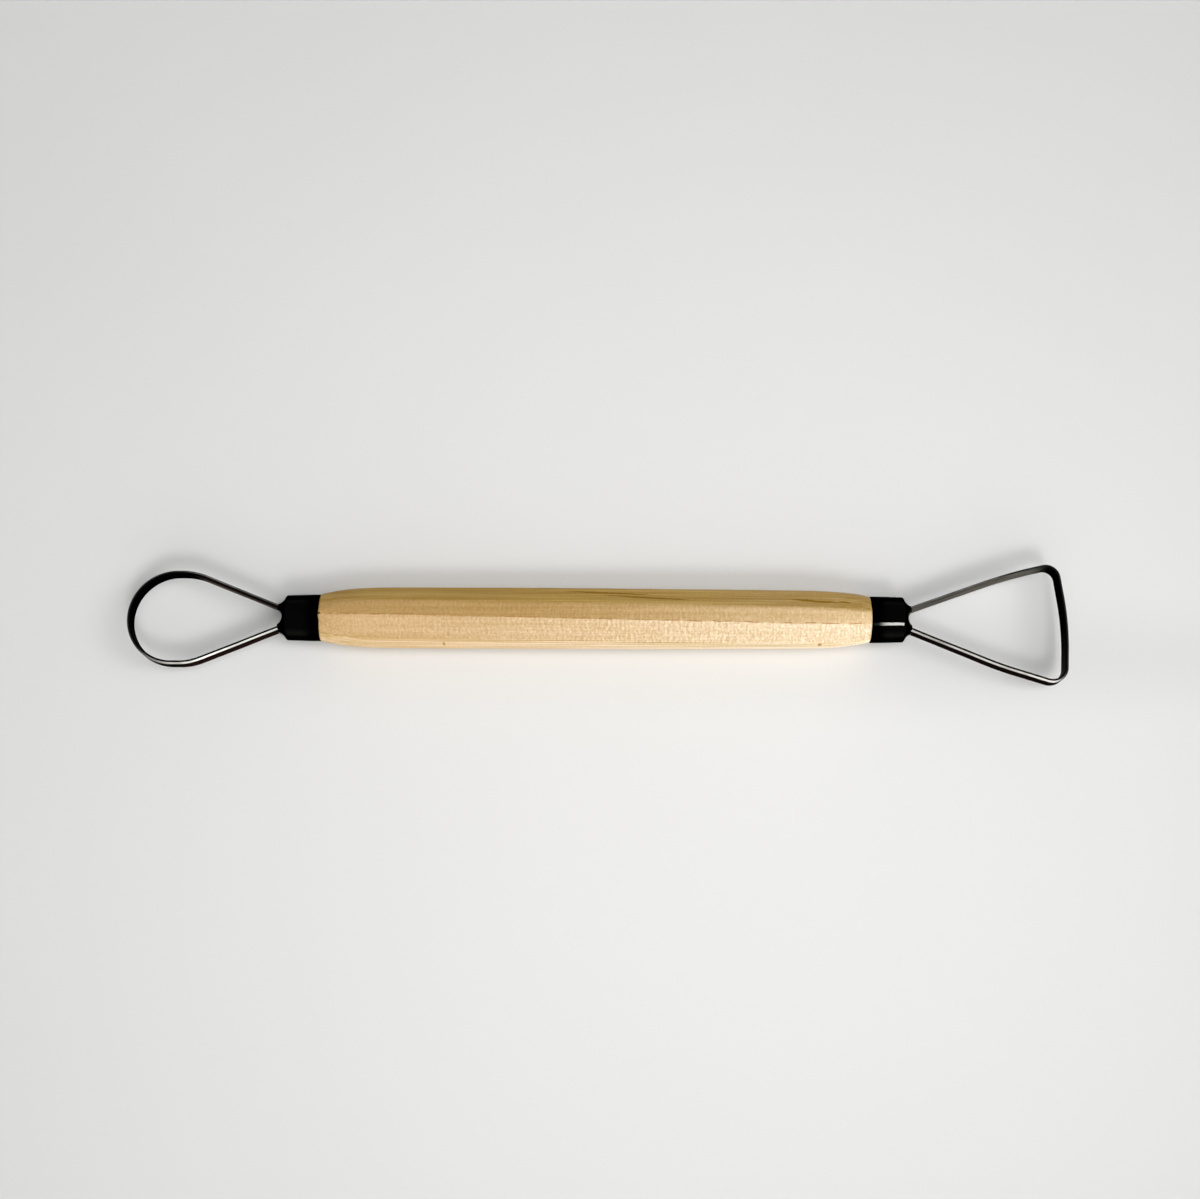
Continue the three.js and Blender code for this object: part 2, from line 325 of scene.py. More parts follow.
def tenon_rings(end, side):
    """Rings from the end of the wood along the tenon and back down its bore."""
    directions = [Vector((y, z)).normalized() for _, y, z in end]
    stops = (
        (WOOD_END, TENON_DIAMETER / 2),
        (TENON_END, TENON_DIAMETER / 2),
        (TENON_END, BORE_RADIUS),
        (BORE_END, BORE_RADIUS),
    )
    rings = []
    for x, radius in stops:
        rings.append([(side * x, *(direction * radius)) for direction in directions])
    return rings


def make_handle(material):
    wood = [wood_ring(x) for x in ring_places()]
    rings = tenon_rings(wood[0], -1)[::-1] + wood + tenon_rings(wood[-1], 1)
    piece = piece_from("carved_handle", *loft(rings), materials=[material])
    face_outwards(piece)
    smooth(piece, sharpest=40)
    return piece


# Blades.
def centreline(corners, side):
    """Points along a ribbon with the direction of travel at each."""
    root_end = -ROOT_LENGTH
    stops = [(root_end, corners[0][1], 0), *corners, (root_end, corners[-1][1], 0)]
    places = [Vector((side * (BEND_PLACE + x), y)) for x, y, _ in stops]
    wanted = [0] * len(stops)
    for i in range(1, len(stops) - 1):
        wanted[i] = run_of(places[i - 1], places[i], places[i + 1], stops[i][2])
    line = []
    for i, here in enumerate(places):
        if not wanted[i]:
            along = (places[1] - here) if i == 0 else (here - places[i - 1])
            line.append((here, along.normalized()))
            continue
        rooms = [(here - places[j]).length / (wanted[i] + wanted[j]) for j in (i - 1, i + 1)]
        run = wanted[i] * min(1, *rooms)
        line += rounded_corner(places[i - 1], here, places[i + 1], run, BEND_STEPS)
    return line


def filled(line):
    """The same line with points added where two lie far apart, and none almost on another."""
    made = [line[0]]
    for (start, start_along), (end, end_along) in zip(line, line[1:]):
        steps = max(1, math.ceil((end - start).length / LONGEST_STEP))
        for i in range(1, steps + 1):
            share = i / steps
            along = start_along.lerp(end_along, share).normalized()
            made.append((start.lerp(end, share), along))
    kept = [b for a, b in zip(made, made[1:]) if (b[0] - a[0]).length > SHORTEST_STEP]
    return [made[0]] + kept


INNER, OUTER, GROUND = range(3)  # finishes of a ribbon's faces


def ribbon_section():
    """Points (outwards, up) round the ribbon's section and the finish of the face after each."""
    half = RIBBON_THICKNESS / 2
    top = RIBBON_WIDTH / 2
    soft = EDGE_SOFTNESS
    upper = [
        ((-half, top - soft), OUTER),
        ((-half + soft, top), OUTER),
        ((half - BEVEL_WIDTH, top), GROUND),
        ((half - soft / 2, top - BEVEL_DROP), GROUND),
        ((half, top - BEVEL_DROP - soft), OUTER),
    ]
    lower = [
        ((half, -top + BEVEL_DROP + soft), GROUND),
        ((half - soft / 2, -top + BEVEL_DROP), GROUND),
        ((half - BEVEL_WIDTH, -top), OUTER),
        ((-half + soft, -top), OUTER),
        ((-half, -top + soft), INNER),
    ]
    return upper + lower


def ribbon_ring(section, point, along, distance, side):
    """The ribbon's section at a point of its centreline, strayed a little and off upright."""
    outwards = Vector((-along.y, along.x)) * side
    free = min(1, max(0, (abs(point.x) - BEND_PLACE) / RIBBON_FREE_LENGTH))
    shift = RIBBON_WANDER * free * wander(distance / RIBBON_WANDER_LENGTH, side * SHIFT_NOISE)
    spot = (distance / RIBBON_LEAN_LENGTH, side * LEAN_NOISE[0], LEAN_NOISE[1])
    lean = RIBBON_LEAN * free * wander(*spot)
    ring = []
    for (out, up), _ in section:
        moved = out + shift + up * math.sin(math.radians(lean))
        ring.append((point.x + outwards.x * moved, point.y + outwards.y * moved, up))
    return ring


def make_blade(name, corners, side, materials):
    line = filled(centreline(corners, side))
    section = ribbon_section()
    rings = []
    distance = 0
    distances = []
    previous = line[0][0]
    for point, along in line:
        distance += (point - previous).length
        previous = point
        distances += [distance] * len(section)
        rings.append(ribbon_ring(section, point, along, distance, side))
    points, faces = loft(rings)
    finishes = [finish for _, finish in section] * (len(rings) - 1) + [INNER, INNER]
    piece = piece_from(name, points, faces, finishes, materials)
    face_outwards(piece)
    smooth(piece, sharpest=18)
    stored = piece.data.attributes.new("along", "FLOAT", "POINT")
    stored.data.foreach_set("value", distances)
    return piece


# Sleeves.
def leg_face(root, following, place):
    """Where a leg's outer face crosses a place along the tool."""
    slope = (following[1] - root[1]) / (following[0] - root[0])
    centre = root[1] + slope * (place - BEND_PLACE - root[0])
    return centre + math.copysign(RIBBON_THICKNESS / 2, slope) * math.hypot(1, slope)


def sleeve_ring(x, middle, half_width, half_height, corner):
    """A ring of the sleeve: a rectangle with rounded corners, or a circle where they meet."""
    ring = []
    for i in range(ROUND_SIDES):
        angle = (i + 0.5) * 2 * math.pi / ROUND_SIDES
        across, up = math.cos(angle), math.sin(angle)
        y = middle + math.copysign(half_width - corner, across) + corner * across
        z = math.copysign(half_height - corner, up) + corner * up
        ring.append((x, y, z))
    return ring


def cutter(name, radius, start, end):
    """A closed round bar between two points, for cutting."""
    start, end = Vector(start), Vector(end)
    turn = (end - start).to_track_quat("Z", "Y")
    rings = []
    for centre in (start, end):
        ring = []
        for i in range(ROUND_SIDES):
            angle = 2 * math.pi * i / ROUND_SIDES
            direction = Vector((math.cos(angle), math.sin(angle), 0))
            ring.append(tuple(centre + turn @ direction * radius))
        rings.append(ring)
    piece = piece_from(name, *loft(rings))
    face_outwards(piece)
    return piece


def apply_modifiers(piece):
    graph = bpy.context.evaluated_depsgraph_get()
    mesh = bpy.data.meshes.new_from_object(piece.evaluated_get(graph))
    piece.modifiers.clear()
    piece.data = mesh


def cut(piece, tool):
    change = piece.modifiers.new("cut", "BOOLEAN")
    change.operation = "DIFFERENCE"
    change.solver = "EXACT"
    change.object = tool
    apply_modifiers(piece)
    bpy.data.objects.remove(tool)


def soften(piece):
    """Rounds off the edges of a piece."""
    remesh = piece.modifiers.new("remesh", "REMESH")
    remesh.mode = "VOXEL"
    remesh.voxel_size = SLEEVE_VOXEL * MM
    softening = piece.modifiers.new("soften", "SMOOTH")
    softening.factor = SLEEVE_SOFTENING
    softening.iterations = SLEEVE_SOFTENING_ROUNDS
    apply_modifiers(piece)


def sleeve_rings(side, shoulder, mouth, middle, mouth_width):
    """Rings from the wood to the shoulder and on to the mouth, which is drawn in round the legs."""
    mouth_height = RIBBON_WIDTH / 2 + NECK_WALL
    end_radius = SLEEVE_RADIUS - SLEEVE_TAPER / 2
    rings = []
    for i in range(SLEEVE_STEPS + 1):
        share = i / SLEEVE_STEPS
        x = lerp(WOOD_END, shoulder - SHOULDER_ROUND, share)
        radius = lerp(SLEEVE_RADIUS, end_radius, share**SLEEVE_BARREL)
        rings.append(sleeve_ring(side * x, 0, radius, radius, radius))
    for i in range(SLEEVE_STEPS + 1):
        share = i / SLEEVE_STEPS
        drawn = 1 - (1 - share) ** NECK_FULLNESS
        start = end_radius - SHOULDER_ROUND
        rings.append(
            sleeve_ring(
                side * lerp(shoulder, mouth, share),
                middle * drawn,
                lerp(start, mouth_width, drawn),
                lerp(start, mouth_height, drawn),
                lerp(start, MOUTH_CORNER, drawn),
            )
        )
    return rings


def make_sleeve(name, corners, side, end_length, neck_length, web_depth, rim):
    shoulder = TENON_END + end_length
    mouth = shoulder + neck_length
    upper = leg_face(corners[0], corners[1], mouth)
    lower = leg_face(corners[-1], corners[-2], mouth)
    middle = (upper + lower) / 2
    mouth_width = (upper - lower) / 2 + NECK_WALL
    piece = piece_from(name, *loft(sleeve_rings(side, shoulder, mouth, middle, mouth_width)))
    face_outwards(piece)
    web = side * (mouth - web_depth + WEB_RADIUS)
    below, above = (web, middle, -WEB_CUT_REACH), (web, middle, WEB_CUT_REACH)
    cut(piece, cutter("web", WEB_RADIUS, below, above))
    soften(piece)
    hollow = TENON_DIAMETER / 2 + SLEEVE_FIT
    start, end = side * (WOOD_END - HOLLOW_OVERRUN), side * (TENON_END + SLEEVE_FIT)
    cut(piece, cutter("hollow", hollow, (start, 0, 0), (end, 0, 0)))
    piece.data.materials.clear()
    piece.data.materials.append(sleeve_finish(name, web, middle, rim))
    smooth(piece, sharpest=60)
    return piece


# Materials.
MIX_SHARE, MIX_A, MIX_B, MIX_RESULT = 0, 6, 7, 2  # sockets of the node that mixes colours


class Finish:
    """A node material made by short calls. Places are in millimetres in the tool's own frame."""

    def __init__(self, name, **constants):
        self.material = bpy.data.materials.new(name)
        self.material.use_nodes = True
        self.tree = self.material.node_tree
        self.shader = self.tree.nodes["Principled BSDF"]
        for socket, value in constants.items():
            self.shader.inputs[socket.replace("_", " ")].default_value = value
        own = self.add("ShaderNodeTexCoord").outputs["Object"]
        self.place = self.vector("SCALE", own, Scale=1 / MM)

    def add(self, kind, inputs=None, **settings):
        made = self.tree.nodes.new(kind)
        for name, value in settings.items():
            setattr(made, name, value)
        for key, value in (inputs or {}).items():
            if isinstance(value, bpy.types.NodeSocket):
                self.tree.links.new(value, made.inputs[key])
            else:
                made.inputs[key].default_value = value
        return made

    def link(self, value, socket):
        self.tree.links.new(value, self.shader.inputs[socket])

    def calc(self, operation, a, b=0.0, c=0.0):
        return self.add("ShaderNodeMath", {0: a, 1: b, 2: c}, operation=operation).outputs[0]

    def vector(self, operation, a, b=None, output=0, **named):
        inputs = {0: a, **named} if b is None else {0: a, 1: b, **named}
        made = self.add("ShaderNodeVectorMath", inputs, operation=operation)
        return made.outputs[output]

    def blend(self, *parts):
        """The sum of values, each given with its weight."""
        total = 0.0
        for value, weight in parts:
            total = self.calc("MULTIPLY_ADD", value, weight, total)
        return total

    def axes(self):
        return self.add("ShaderNodeSeparateXYZ", {0: self.place}).outputs

    def noise(self, per_mm, detail=2.0, roughness=0.5, vector=None):
        """Noise from about 0 to 1 with so many waves to the millimetre along each axis."""
        scaled = self.vector("MULTIPLY", vector or self.place, per_mm)
        settings = {"Vector": scaled, "Scale": 1, "Detail": detail, "Roughness": roughness}
        return self.add("ShaderNodeTexNoise", settings).outputs["Fac"]

    def distance(self, point, reach=(1, 1, 1)):
        """How far a place lies from a point, in units of a reach for each axis."""
        off = self.vector("SUBTRACT", self.place, point)
        off = self.vector("DIVIDE", off, reach)
        return self.vector("LENGTH", off, output="Value")

    def spread(self, value, low, high, to_low=0.0, to_high=1.0):
        """value mapped from low..high to to_low..to_high, smoothly, and held there."""
        return self.add(
            "ShaderNodeMapRange",
            {"Value": value, "From Min": low, "From Max": high, "To Min": to_low, "To Max": to_high},
            interpolation_type="SMOOTHSTEP",
        ).outputs["Result"]

    def mix(self, share, a, b, blend="MIX"):
        made = self.add("ShaderNodeMix", data_type="RGBA", blend_type=blend)
        for socket, value in ((MIX_SHARE, share), (MIX_A, a), (MIX_B, b)):
            if isinstance(value, bpy.types.NodeSocket):
                self.tree.links.new(value, made.inputs[socket])
            else:
                made.inputs[socket].default_value = value if socket == MIX_SHARE else (*value, 1)
        return made.outputs[MIX_RESULT]

    def bump(self, height, depth):
        """Relief of that many millimetres where height goes from 0 to 1."""
        made = self.add("ShaderNodeBump", {"Height": height, "Strength": 1, "Distance": depth * MM})
        self.link(made.outputs[0], "Normal")


BLACK = (0, 0, 0)
LOOP_TO_LOOP = (-60, 60)  # places by the two loops, between which looks change

# Ridges of the handle, as places in SECTION_CORNERS.
BACK_RIDGE, FAR_RIDGE, NEAR_RIDGE, LOW_RIDGE = 1, 2, 3, 4

# Wood colours, as the places along the tool where one holds and where the other does, and both.
# The golden and the pale one grow much lighter towards the triangle's end, partly painted light.
# The pale one, on the near side that faces the light, is partly painted sheen, and the olive
# brown heart one, on the far upper face, partly painted shade.
HEART_AND_SHADE_WOOD = (-10, 60, (0.54, 0.335, 0.072), (0.54, 0.355, 0.12))
PLAIN_WOOD = (*LOOP_TO_LOOP, (0.58, 0.4, 0.17), (0.68, 0.5, 0.26))
GOLDEN_WOOD = (-20, 78, (0.53, 0.33, 0.122), (0.785, 0.57, 0.315))
PALE_WOOD = (-45, 60, (0.585, 0.383, 0.178), (0.85, 0.665, 0.44))
# Paler still below the low ridge, partly painted sheen.
PALER_BELOW = (1, 0.9, 0.57)
PALER_SHARE = 0.13
LATE_WOOD = (0.42, 0.24, 0.06)

# Edges between the colours, as distances past a ridge at which one has given way to the next.
HEART_AND_SHADE_EDGE = (-0.5, 0.6)
PALE_EDGE = (0.15, -0.15)
PALEST_EDGE = (0.3, -0.3)
PLAIN_EDGE = (0.1, 0.8)
EDGE_RAGGEDNESS = 0.6

# A thin line along parts of the ridge between the golden and the pale.
RIDGE_LINE = (0.45, 0.2, 0.05)
RIDGE_LINE_PLACE = 0.16
RIDGE_LINE_FADE = (0.03, 0.17, 0.85, 0)  # from its middle outwards

# Growth layers.
LAYER_THICKNESS = 1.7
LAYER_ACROSS = (0.03, -0.34, 0.94)  # the direction that crosses them
LAYER_DRIFT = 4
LATE_SHARE = 0.13
LATE_STRENGTH = 0.22
LONG_POWERS = (0.75, 1, 1.9)  # of the long bands and lines, in each channel

# Figure of the wood, with how far each kind lightens or darkens it.
RIPPLES_PER_MM = 0.95
RIPPLE_BENDING = 3.4  # in ripples
RIPPLE_TONE = 0.14
FIBRE_TONE = 0.05
SPECK_TONE = 0.15
# The pale flecks are painted glints.
GLINT_FLECK_TONE = 0.16
MEAN_TONE = 0.975
TONE_POWERS = (0.65, 1, 1.65)
WOOD_RELIEF = 0.03

# Marks in the wood as (x, y, length, width, degrees off the axis), seen from above.
DARK_STREAKS = (
    (2.7, 4.85, 20.4, 0.5, -2.9),
    (11.2, 3.68, 22.4, 0.5, -3.6),
    (47.3, 2.95, 13, 0.6, -4),
    (53.6, 2.8, 3.4, 0.5, -8),
)
DARK_SPECKS = (
    (-32.6, -6.0, 0.7, 0.55, 0),
    (48.3, -6.0, 1.1, 0.45, 0),
)
NICKS = ((-59.4, 0.05, 0.9, 0.5, 0),)
MARK_WANDER = 0.5  # how unevenly their edges run
MARK_CORE = 0.35  # the share of a mark's area that shows in full
# Kinds of mark with their strength and colour.
MARKS = (
    (DARK_STREAKS, 1, (0.31, 0.145, 0.0005)),
    (DARK_SPECKS, 0.85, (0.42, 0.2, 0.001)),
    (NICKS, 0.95, (0.01, 0.003, 0.002)),
)


def mark(finish, across, along, x, y, length, width, tilt):
    """1 in the middle of a lens-shaped mark, falling to 0 at its edge."""
    turned = math.radians(tilt)
    dx = finish.calc("SUBTRACT", along, x)
    dy = finish.calc("SUBTRACT", across, y)
    run = finish.blend((dx, math.cos(turned)), (dy, math.sin(turned)))
    off = finish.blend((dy, math.cos(turned)), (dx, -math.sin(turned)))
    run = finish.calc("POWER", finish.calc("ABSOLUTE", finish.calc("DIVIDE", run, length / 2)), 2)
    off = finish.calc("POWER", finish.calc("ABSOLUTE", finish.calc("DIVIDE", off, width / 2)), 2)
    return finish.spread(finish.calc("ADD", run, off), 1, MARK_CORE)


def past_ridge(wood, ridge, x, y, z):
    """How far a place lies towards +Y from the plane through the axis and a ridge of the handle."""
    turn = wood.calc("MULTIPLY", x, math.radians(SECTION_TWIST) / (2 * WOOD_END))
    turn = wood.calc("ADD", turn, math.radians(SECTION_CORNERS[ridge]))
    height = wood.calc("SUBTRACT", z, AXIS_HEIGHT)
    return wood.calc(
        "ADD",
        wood.calc("MULTIPLY", y, wood.calc("COSINE", turn)),
        wood.calc("MULTIPLY", height, wood.calc("SINE", turn)),
    )


def ridges_passed(wood, x, y, z):
    """How far a place lies past the far, the near and the low ridge, the first two a bit ragged."""
    edge = wood.calc("SUBTRACT", wood.noise((0.5, 0.8, 0.8)), 0.5)
    edge = wood.calc("MULTIPLY", edge, EDGE_RAGGEDNESS)
    far = wood.calc("ADD", past_ridge(wood, FAR_RIDGE, x, y, z), edge)
    near = wood.calc("ADD", past_ridge(wood, NEAR_RIDGE, x, y, z), edge)
    return far, near, past_ridge(wood, LOW_RIDGE, x, y, z)


def changing(wood, x, start, end, first, second):
    """A colour that changes to another between two places along the tool."""
    return wood.mix(wood.spread(x, start, end), first, second)


def zone_colours(wood, x, y, z, far, near, low):
    """Olive brown on the far upper face, golden on top, pale on the near side and plain below.
    The olive brown is partly painted shade, and the pale, paler still below the low ridge, partly
    painted sheen.
    """
    heart_and_shade = changing(wood, x, *HEART_AND_SHADE_WOOD)
    plain = changing(wood, x, *PLAIN_WOOD)
    gold = changing(wood, x, *GOLDEN_WOOD)
    pale = changing(wood, x, *PALE_WOOD)
    palest = wood.mix(PALER_SHARE, pale, PALER_BELOW, "ADD")
    pale = wood.mix(wood.spread(low, *PALEST_EDGE), pale, palest)
    colour = wood.mix(wood.spread(far, *HEART_AND_SHADE_EDGE), gold, heart_and_shade)
    colour = wood.mix(wood.spread(near, *PALE_EDGE), colour, pale)
    back = past_ridge(wood, BACK_RIDGE, x, y, z)
    colour = wood.mix(wood.spread(back, *PLAIN_EDGE), colour, plain)
    off_line = wood.calc("ABSOLUTE", wood.calc("SUBTRACT", near, RIDGE_LINE_PLACE))
    line = wood.spread(off_line, *RIDGE_LINE_FADE)
    parts = wood.spread(wood.noise((0.4, 0.1, 0.1), detail=4, roughness=0.7), 0.44, 0.54)
    return wood.mix(wood.calc("MULTIPLY", line, parts), colour, RIDGE_LINE)


def figure_strength(wood, x, far, near, low):
    """How strongly ripples across the grain and long streaks along it show in each place."""
    rippled = wood.spread(near, 0.2, -0.2, 0.65, 1)
    rippled = wood.calc("MULTIPLY", rippled, wood.spread(x, -60, 25, 0.6, 1))
    rippled = wood.calc("MULTIPLY", rippled, wood.spread(far, -0.6, 0.9, 1, 0.3))
    rippled = wood.calc("MULTIPLY", rippled, wood.spread(low, 0.5, -0.1, 1, 0.3))
    streaked = wood.spread(far, -0.6, 0.6, 0.3, 1)
    streaked = wood.calc("MAXIMUM", streaked, wood.spread(low, 0.7, 0, 0, 1.4))
    return rippled, streaked


def ripples(wood, x):
    """Short ripples across the grain, from -1 to 1."""
    bent = wood.noise((0.35, 0.3, 0.3), detail=3, roughness=0.6)
    turns = wood.blend((x, RIPPLES_PER_MM), (bent, RIPPLE_BENDING))
    wave = wood.calc("SINE", wood.calc("MULTIPLY", turns, 2 * math.pi))
    broken = wood.spread(wood.noise((0.9, 0.7, 0.7), detail=3, roughness=0.65), 0.42, 0.58)
    return wood.calc("MULTIPLY", wave, broken)


def tinted(wood, colour, tone, powers):
    """The colour darkened or lightened by a tone, raised to a power of its own in each channel."""
    channels = {i: wood.calc("POWER", tone, power) for i, power in enumerate(powers)}
    factor = wood.add("ShaderNodeCombineColor", channels).outputs[0]
    return wood.mix(1.0, colour, factor, "MULTIPLY")


def grown(wood, colour, streaked, x, y, z):
    """The colour with growth layers, cut at a slant by the faces, and long bands and lines."""
    drift = wood.noise((0.012, 0.14, 0.14), detail=1)
    along, across, up = LAYER_ACROSS
    layers = wood.blend((z, up), (y, across), (x, along), (drift, LAYER_DRIFT))
    ring = wood.calc("FRACT", wood.calc("DIVIDE", layers, LAYER_THICKNESS))
    late = wood.spread(wood.calc("PINGPONG", ring, 0.5), 0.0, LATE_SHARE, 1, 0)
    shows = wood.spread(wood.noise((0.03, 0.35, 0.35), detail=1), 0.45, 0.68)
    late = wood.calc("MULTIPLY", late, shows)
    colour = wood.mix(wood.calc("MULTIPLY", late, LATE_STRENGTH), colour, LATE_WOOD)
    bands = wood.noise((0.011, 0.55, 0.55), detail=4, roughness=0.7)
    lines = wood.noise((0.02, 2.2, 2.2), detail=3, roughness=0.6)
    bands = wood.calc("MULTIPLY", wood.spread(bands, 0.32, 0.66, -0.24, 0.16), streaked)
    lines = wood.calc("MULTIPLY", wood.spread(lines, 0.3, 0.7, -0.16, 0.14), streaked)
    long = wood.blend((bands, 1), (lines, 1), (1.0, 1.02))
    return tinted(wood, colour, long, LONG_POWERS)


def marked(wood, colour, x, y, z):
    """The colour with the streaks, specks and nicks of the upper side."""
    up = wood.spread(z, AXIS_HEIGHT, AXIS_HEIGHT + 2)
    wavy = wood.calc("MULTIPLY", wood.noise((0.4, 0.4, 0.4)), MARK_WANDER)
    wavy = wood.calc("ADD", y, wavy)
    wavy = wood.calc("SUBTRACT", wavy, MARK_WANDER / 2)
    for marks, strength, tint in MARKS:
        for values in marks:
            share = wood.calc("MULTIPLY", mark(wood, wavy, x, *values), strength)
            colour = wood.mix(wood.calc("MULTIPLY", share, up), colour, tint)
    return colour


def wood_finish():
    wood = Finish("pale_wood", Specular_IOR_Level=0.14)
    x, y, z = wood.axes()
    far, near, low = ridges_passed(wood, x, y, z)
    colour = zone_colours(wood, x, y, z, far, near, low)
    rippled, streaked = figure_strength(wood, x, far, near, low)
    colour = grown(wood, colour, streaked, x, y, z)
    ripple = wood.calc("MULTIPLY", ripples(wood, x), rippled)
    fibre = wood.noise((0.3, 6, 6), detail=3, roughness=0.6)
    fibre = wood.spread(fibre, 0.3, 0.7, -1, 1)
    specks = wood.noise((2.4, 1.7, 1.7), detail=2, roughness=0.7)
    specks = wood.spread(specks, 0.32, 0.68, -1, 1)
    # Pale flecks where the wood is rippled, painted glints.
    glint_flecks = wood.spread(wood.noise((2.6, 0.9, 0.9), detail=2), 0.56, 0.7)
    tone = wood.blend(
        (ripple, RIPPLE_TONE),
        (fibre, FIBRE_TONE),
        (wood.calc("MULTIPLY", specks, rippled), SPECK_TONE),
        (wood.calc("MULTIPLY", glint_flecks, rippled), GLINT_FLECK_TONE),
        (1.0, MEAN_TONE),
    )
    colour = tinted(wood, colour, tone, TONE_POWERS)
    wood.link(marked(wood, colour, x, y, z), "Base Color")
    wood.bump(wood.blend((ripple, 0.5), (fibre, 0.4), (specks, 0.3)), WOOD_RELIEF)
    gloss = wood.noise((0.3, 2, 2), detail=2)
    wood.link(wood.spread(gloss, 0.3, 0.7, 0.34, 0.48), "Roughness")
    return wood.material


GROUND_STEEL = ((0.2, 0.192, 0.178), (0.42, 0.41, 0.385))
RUBBED_STEEL = ((0.085, 0.083, 0.07), (0.17, 0.165, 0.14))
RIBBON_BLACK_AND_SHADE = (0.001, 0.001, 0.001)
# Scale on the two sides of a ribbon: its darkest and lightest colours, the colour of its brown
# patches, and how much is added to the wear that lightens it.
INSIDE_SCALE = {
    "dark": (0.085, 0.081, 0.07),
    "light": (0.22, 0.215, 0.18),
    "brown": (0.13, 0.07, 0.05),
    "rubbed": 0.2,
}
OUTSIDE_SCALE = {
    "dark": (0.003, 0.003, 0.003),
    "light": (0.03, 0.028, 0.024),
    "brown": (0.05, 0.02, 0.014),
    "rubbed": 0,
}
MORE_RUBBED = 1.7  # times as much at the triangle
WEAR = (1.15, 1.55)  # from the darkest colour to the lightest
RUBBED_WEAR = (0.9, 1.5)  # the same where clay has rubbed the triangle's upper leg
UPPER_LEG_START = (55, 64)
UPPER_LEG_SIDE = (0, 0.5, 0, 0.9)
# Where the ribbon is black: along the top of the round loop, from so far over the axis and not
# as far as the sleeve, and at both far ends, as painted shade, so far from a place near the tool's
# middle.
BLACK_OVER_AXIS = (0.1, 1.3, 0, 0.9)
BLACK_SHORT_OF = (-70, -64, 1, 0)
SHADED_ENDS_MIDDLE = 6
SHADED_ENDS_PAST = (92.8, 97.3)
# How brightly ground edges show along the round loop, along the triangle and at the far ends, as
# two places and the strength at each. Where they are dimmed, this is painted shade.
ROUND_SHINE = (-82, -68, 0.8, 0.45)
TRIANGLE_SHINE = (60, 66, 0, 0.8)
FAR_SHINE = (90, 96, 1, 0.12)


def ribbon_place(finish):
    """A vector of the distance along the ribbon and the height, both in millimetres."""
    along = finish.add("ShaderNodeAttribute", attribute_name="along").outputs["Fac"]
    height = finish.axes()[2]
    return finish.add("ShaderNodeCombineXYZ", {0: along, 1: height}).outputs[0]


def ground_finish():
    """Bare steel of the ground edges, brighter on the triangle, dimmed elsewhere by painted shade.
    """
    steel = Finish("ground_edge_steel", Metallic=0.75, Specular_IOR_Level=0)
    ribbon = ribbon_place(steel)
    scratches = steel.noise((0.8, 9, 1), detail=3, roughness=0.7, vector=ribbon)
    patches = steel.noise((0.18, 0.2, 1), detail=2, vector=ribbon)
    shade = steel.spread(steel.calc("ADD", scratches, patches), 0.7, 1.35)
    colour = steel.mix(shade, *GROUND_STEEL)
    # Painted shade: dimmer by the round end's sleeve, and at the far ends of the loops, most on
    # their
    # +Y side.
    x, y, _ = steel.axes()
    edge_shine = steel.spread(x, *ROUND_SHINE)
    edge_shine = steel.calc("MAXIMUM", edge_shine, steel.spread(x, *TRIANGLE_SHINE))
    far = steel.blend((steel.calc("ABSOLUTE", x), 1), (y, 0.5))
    shown = steel.calc("MULTIPLY", edge_shine, steel.spread(far, *FAR_SHINE))
    colour = steel.mix(shown, BLACK, colour)
    steel.link(colour, "Base Color")
    steel.link(steel.spread(scratches, 0.3, 0.7, 0.44, 0.54), "Roughness")
    steel.bump(scratches, 0.01)
    return steel.material


def black_top_and_shaded_ends(steel, x, y, z, streaks):
    """1 where a loop is black: the round one along the top, both at their far ends as painted shade.
    """
    low, high, *strengths = BLACK_OVER_AXIS
    top = steel.spread(z, AXIS_HEIGHT + low, AXIS_HEIGHT + high, *strengths)
    top = steel.calc("MULTIPLY", top, steel.spread(x, *BLACK_SHORT_OF))
    reach = steel.calc("ABSOLUTE", steel.calc("SUBTRACT", x, SHADED_ENDS_MIDDLE))
    far = steel.blend((reach, 1), (y, 0.2), (streaks, 5))
    return steel.calc("MAXIMUM", top, steel.spread(far, *SHADED_ENDS_PAST))


